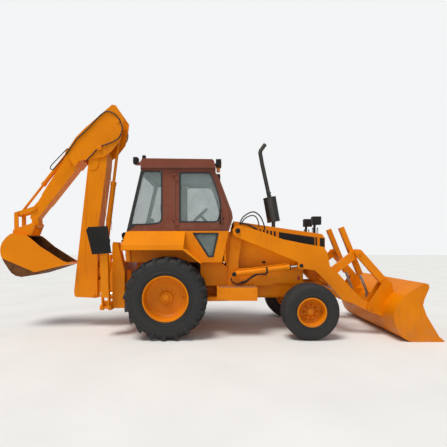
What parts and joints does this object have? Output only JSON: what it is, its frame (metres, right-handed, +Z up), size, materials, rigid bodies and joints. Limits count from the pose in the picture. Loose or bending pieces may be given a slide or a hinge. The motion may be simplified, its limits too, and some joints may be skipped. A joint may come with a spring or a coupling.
{
  "type": "backhoe loader",
  "caption": "Backhoe loader with a closed cab, linked front bucket, folded swing boom with dipper and bucket, and fold-down stabilizers.",
  "frame": {"origin": "middle of the bounding box at ground level", "axes": "+X forward to the loader bucket, +Y to the machine's left, +Z up"},
  "size_m": [7.845, 2.34, 4.305],
  "materials": {
    "orange_paint": "gloss machine paint",
    "brown_paint": "satin brown paint",
    "black_paint": "satin black paint",
    "tyre_rubber": "tyre rubber",
    "rod_chrome": "polished rod chrome",
    "window_glass": "clear safety glass",
    "exhaust_grey": "heat-dulled grey",
    "seat_vinyl": "black vinyl"
  },
  "bodies": {
    "chassis": {"main_frame": "orange_paint", "backhoe_frame": "orange_paint", "engine": "exhaust_grey", "hood": "orange_paint", "exhaust": "exhaust_grey", "front_axle": "orange_paint", "rear_axle": "orange_paint", "cab_shell": "brown_paint", "cab_roof": "brown_paint", "cab_glass": "window_glass", "lower_cab": "orange_paint", "seat": "seat_vinyl", "steering_console": "black_paint"},
    "rear_wheel_right": {"rear_tyre_right": "tyre_rubber", "rear_rim_right": "orange_paint"},
    "rear_wheel_left": {"rear_tyre_left": "tyre_rubber", "rear_rim_left": "orange_paint"},
    "steer_right": {"knuckle_right": "orange_paint"},
    "steer_left": {"knuckle_left": "orange_paint"},
    "front_wheel_right": {"front_tyre_right": "tyre_rubber", "front_rim_right": "orange_paint"},
    "front_wheel_left": {"front_tyre_left": "tyre_rubber", "front_rim_left": "orange_paint"},
    "door_body_right": {"door_right": "brown_paint", "door_glass_right": "window_glass"},
    "door_body_left": {"door_left": "brown_paint", "door_glass_left": "window_glass"},
    "arms": {"loader_arms": "orange_paint"},
    "lift_barrel_pair": {"lift_barrels": "orange_paint"},
    "lift_rod_pair": {"lift_rods": "rod_chrome"},
    "bucket": {"loader_bucket": "orange_paint"},
    "guide_pair": {"guide_links": "orange_paint"},
    "link_pair": {"bucket_links": "orange_paint"},
    "tilt_barrel_pair": {"tilt_barrels": "orange_paint"},
    "tilt_rod_pair": {"tilt_rods": "rod_chrome"},
    "post": {"swing_post": "orange_paint"},
    "swing_ram_right": {"swing_rod_right": "rod_chrome"},
    "swing_ram_left": {"swing_rod_left": "rod_chrome"},
    "boom_body": {"boom": "orange_paint"},
    "boom_cylinder": {"boom_barrel": "orange_paint"},
    "boom_ram": {"boom_rod": "rod_chrome"},
    "dipper_body": {"dipper": "orange_paint"},
    "dipper_cylinder": {"dipper_barrel": "orange_paint"},
    "dipper_ram": {"dipper_rod": "rod_chrome"},
    "scoop": {"backhoe_bucket": "orange_paint"},
    "curl_cylinder": {"curl_barrel": "orange_paint"},
    "curl_ram": {"curl_rod": "rod_chrome"},
    "guide_body": {"curl_guide": "orange_paint"},
    "link_body": {"curl_link": "orange_paint"},
    "leg_right": {"stabilizer_right": "orange_paint"},
    "pad_right": {"stabilizer_pad_right": "black_paint"},
    "jack_right": {"jack_barrel_right": "orange_paint"},
    "jack_ram_right": {"jack_rod_right": "rod_chrome"},
    "leg_left": {"stabilizer_left": "orange_paint"},
    "pad_left": {"stabilizer_pad_left": "black_paint"},
    "jack_left": {"jack_barrel_left": "orange_paint"},
    "jack_ram_left": {"jack_rod_left": "rod_chrome"}
  },
  "joints": [
    {"name": "rear_axle_right", "type": "hinge", "parent": "chassis", "child": "rear_wheel_right", "pos_m": [-0.666, -0.935, 0.7], "axis": [0, 1, 0], "continuous": true},
    {"name": "steer_right_turn", "type": "hinge", "parent": "chassis", "child": "steer_right", "pos_m": [1.765, -0.79, 0.475], "axis": [0, 0, 1], "range_deg": [-35, 35]},
    {"name": "front_hub_right", "type": "hinge", "parent": "steer_right", "child": "front_wheel_right", "pos_m": [1.765, -0.965, 0.475], "axis": [0, 1, 0], "continuous": true},
    {"name": "door_hinge_right", "type": "hinge", "parent": "chassis", "child": "door_body_right", "pos_m": [-0.535, -0.776, 2.38], "axis": [0, 0, -1], "range_deg": [0, 75]},
    {"name": "rear_axle_left", "type": "hinge", "parent": "chassis", "child": "rear_wheel_left", "pos_m": [-0.666, 0.935, 0.7], "axis": [0, 1, 0], "continuous": true},
    {"name": "steer_left_turn", "type": "hinge", "parent": "chassis", "child": "steer_left", "pos_m": [1.765, 0.79, 0.475], "axis": [0, 0, 1], "range_deg": [-35, 35]},
    {"name": "front_hub_left", "type": "hinge", "parent": "steer_left", "child": "front_wheel_left", "pos_m": [1.765, 0.965, 0.475], "axis": [0, 1, 0], "continuous": true},
    {"name": "door_hinge_left", "type": "hinge", "parent": "chassis", "child": "door_body_left", "pos_m": [-0.535, 0.776, 2.38], "axis": [0, 0, 1], "range_deg": [0, 75]},
    {"name": "arm_lift", "type": "hinge", "parent": "chassis", "child": "arms", "pos_m": [0.559, 0, 1.846], "axis": [0, -1, 0], "range_deg": [-2, 65]},
    {"name": "lift_barrel_pair_pivot", "type": "hinge", "parent": "chassis", "child": "lift_barrel_pair", "pos_m": [0.496, 0, 1.078], "axis": [0, -1, 0], "range_deg": [-2.48, 49.02]},
    {"name": "lift_rod_pair_stroke", "type": "slide", "parent": "lift_barrel_pair", "child": "lift_rod_pair", "axis": [0.9919, 0, 0.127], "range_m": [-0.032, 0.727]},
    {"name": "bucket_tilt", "type": "hinge", "parent": "arms", "child": "bucket", "pos_m": [2.907, 0, 0.482], "axis": [0, 1, 0], "range_deg": [-40, 60]},
    {"name": "guide_swing", "type": "hinge", "parent": "arms", "child": "guide_pair", "pos_m": [2.188, 0, 1.039], "axis": [0, 1, 0], "range_deg": [-31.8, 47.2]},
    {"name": "link_swing", "type": "hinge", "parent": "guide_pair", "child": "link_pair", "pos_m": [2.718, 0, 1.452], "axis": [0, 1, 0], "range_deg": [-61, 41]},
    {"name": "tilt_barrel_pivot", "type": "hinge", "parent": "guide_pair", "child": "tilt_barrel_pair", "pos_m": [2.718, 0, 1.452], "axis": [0, 1, 0], "range_deg": [-47.2, 31.8]},
    {"name": "tilt_stroke", "type": "slide", "parent": "tilt_barrel_pair", "child": "tilt_rod_pair", "axis": [0.3756, 0, -0.9268], "range_m": [-0.324, 0.219]},
    {"name": "boom_swing", "type": "hinge", "parent": "chassis", "child": "post", "pos_m": [-1.856, 0, 0.9], "axis": [0, 0, 1], "range_deg": [-60, 60]},
    {"name": "swing_stroke_right", "type": "slide", "parent": "chassis", "child": "swing_ram_right", "axis": [1, 0, 0], "range_m": [-0.246, 0.246]},
    {"name": "swing_stroke_left", "type": "slide", "parent": "chassis", "child": "swing_ram_left", "axis": [1, 0, 0], "range_m": [-0.246, 0.246]},
    {"name": "boom_lower", "type": "hinge", "parent": "post", "child": "boom_body", "pos_m": [-2.196, 0, 0.64], "axis": [0, -1, 0], "range_deg": [0, 125]},
    {"name": "boom_cylinder_pivot", "type": "hinge", "parent": "post", "child": "boom_cylinder", "pos_m": [-2.066, 0, 0.82], "axis": [0, -1, 0], "range_deg": [-1, 123.45]},
    {"name": "boom_ram_stroke", "type": "slide", "parent": "boom_cylinder", "child": "boom_ram", "axis": [-0.1789, 0, 0.9839], "range_m": [-0.01, 0.428]},
    {"name": "dipper_reach", "type": "hinge", "parent": "boom_body", "child": "dipper_body", "pos_m": [-2.066, 0, 3.46], "axis": [0, 1, 0], "range_deg": [0, 117]},
    {"name": "dipper_cylinder_pivot", "type": "hinge", "parent": "boom_body", "child": "dipper_cylinder", "pos_m": [-1.996, 0, 1.7], "axis": [0, 1, 0], "range_deg": [-1, 11.53]},
    {"name": "dipper_ram_stroke", "type": "slide", "parent": "dipper_cylinder", "child": "dipper_ram", "axis": [0.1222, 0, 0.9925], "range_m": [-0.979, 0.01]},
    {"name": "scoop_curl", "type": "hinge", "parent": "dipper_body", "child": "scoop", "pos_m": [-3.366, 0, 1.99], "axis": [0, 1, 0], "range_deg": [0, 100]},
    {"name": "guide_turn", "type": "hinge", "parent": "dipper_body", "child": "guide_body", "pos_m": [-3.371, 0, 2.315], "axis": [0, 1, 0], "range_deg": [-1, 101]},
    {"name": "link_turn", "type": "hinge", "parent": "guide_body", "child": "link_body", "pos_m": [-3.711, 0, 2.205], "axis": [0, 1, 0], "range_deg": [-101, 1]},
    {"name": "curl_cylinder_pivot", "type": "hinge", "parent": "dipper_body", "child": "curl_cylinder", "pos_m": [-2.726, 0, 3.46], "axis": [0, 1, 0], "range_deg": [-1, 8.16]},
    {"name": "curl_ram_stroke", "type": "slide", "parent": "curl_cylinder", "child": "curl_ram", "axis": [-0.6174, 0, -0.7866], "range_m": [-0.536, 0.01]},
    {"name": "stabilizer_drop_right", "type": "hinge", "parent": "chassis", "child": "leg_right", "pos_m": [-1.721, -0.88, 0.52], "axis": [1, 0, 0], "range_deg": [0, 108]},
    {"name": "pad_flip_right", "type": "hinge", "parent": "leg_right", "child": "pad_right", "pos_m": [-1.721, -0.9998, 1.6597], "axis": [1, 0, 0], "range_deg": [-22.6, 1]},
    {"name": "jack_pivot_right", "type": "hinge", "parent": "chassis", "child": "jack_right", "pos_m": [-1.721, -0.66, 1.39], "axis": [1, 0, 0], "range_deg": [-8.55, 1]},
    {"name": "jack_stroke_right", "type": "slide", "parent": "jack_right", "child": "jack_ram_right", "axis": [0, -0.4025, -0.9154], "range_m": [-0.01, 0.464]},
    {"name": "stabilizer_drop_left", "type": "hinge", "parent": "chassis", "child": "leg_left", "pos_m": [-1.721, 0.88, 0.52], "axis": [-1, 0, 0], "range_deg": [0, 108]},
    {"name": "pad_flip_left", "type": "hinge", "parent": "leg_left", "child": "pad_left", "pos_m": [-1.721, 0.9998, 1.6597], "axis": [-1, 0, 0], "range_deg": [-22.6, 1]},
    {"name": "jack_pivot_left", "type": "hinge", "parent": "chassis", "child": "jack_left", "pos_m": [-1.721, 0.66, 1.39], "axis": [-1, 0, 0], "range_deg": [-8.55, 1]},
    {"name": "jack_stroke_left", "type": "slide", "parent": "jack_left", "child": "jack_ram_left", "axis": [0, 0.4025, -0.9154], "range_m": [-0.01, 0.464]}
  ],
  "couplings": [
    {"joint": "steer_left_turn", "follows": "steer_right_turn", "ratio": 1},
    {"joint": "lift_barrel_pair_pivot", "follows": "arm_lift", "ratio": 0.7387},
    {"joint": "lift_rod_pair_stroke", "follows": "arm_lift", "m_per_rad": 0.6321},
    {"joint": "guide_swing", "follows": "bucket_tilt", "ratio": 0.77},
    {"joint": "link_swing", "follows": "bucket_tilt", "ratio": -1},
    {"joint": "tilt_barrel_pivot", "follows": "bucket_tilt", "ratio": -0.77},
    {"joint": "tilt_stroke", "follows": "bucket_tilt", "m_per_rad": -0.3},
    {"joint": "swing_stroke_right", "follows": "boom_swing", "m_per_rad": 0.225},
    {"joint": "swing_stroke_left", "follows": "boom_swing", "m_per_rad": -0.225},
    {"joint": "boom_cylinder_pivot", "follows": "boom_lower", "ratio": 0.9796},
    {"joint": "boom_ram_stroke", "follows": "boom_lower", "m_per_rad": 0.1915},
    {"joint": "dipper_cylinder_pivot", "follows": "dipper_reach", "ratio": 0.09},
    {"joint": "dipper_ram_stroke", "follows": "dipper_reach", "m_per_rad": -0.4744},
    {"joint": "guide_turn", "follows": "scoop_curl", "ratio": 1},
    {"joint": "link_turn", "follows": "scoop_curl", "ratio": -1},
    {"joint": "curl_cylinder_pivot", "follows": "scoop_curl", "ratio": 0.0716},
    {"joint": "curl_ram_stroke", "follows": "scoop_curl", "m_per_rad": -0.3014},
    {"joint": "pad_flip_right", "follows": "stabilizer_drop_right", "ratio": -0.2},
    {"joint": "jack_pivot_right", "follows": "stabilizer_drop_right", "ratio": -0.0699},
    {"joint": "jack_stroke_right", "follows": "stabilizer_drop_right", "m_per_rad": 0.2411},
    {"joint": "pad_flip_left", "follows": "stabilizer_drop_left", "ratio": -0.2},
    {"joint": "jack_pivot_left", "follows": "stabilizer_drop_left", "ratio": -0.0699},
    {"joint": "jack_stroke_left", "follows": "stabilizer_drop_left", "m_per_rad": 0.2411}
  ]
}
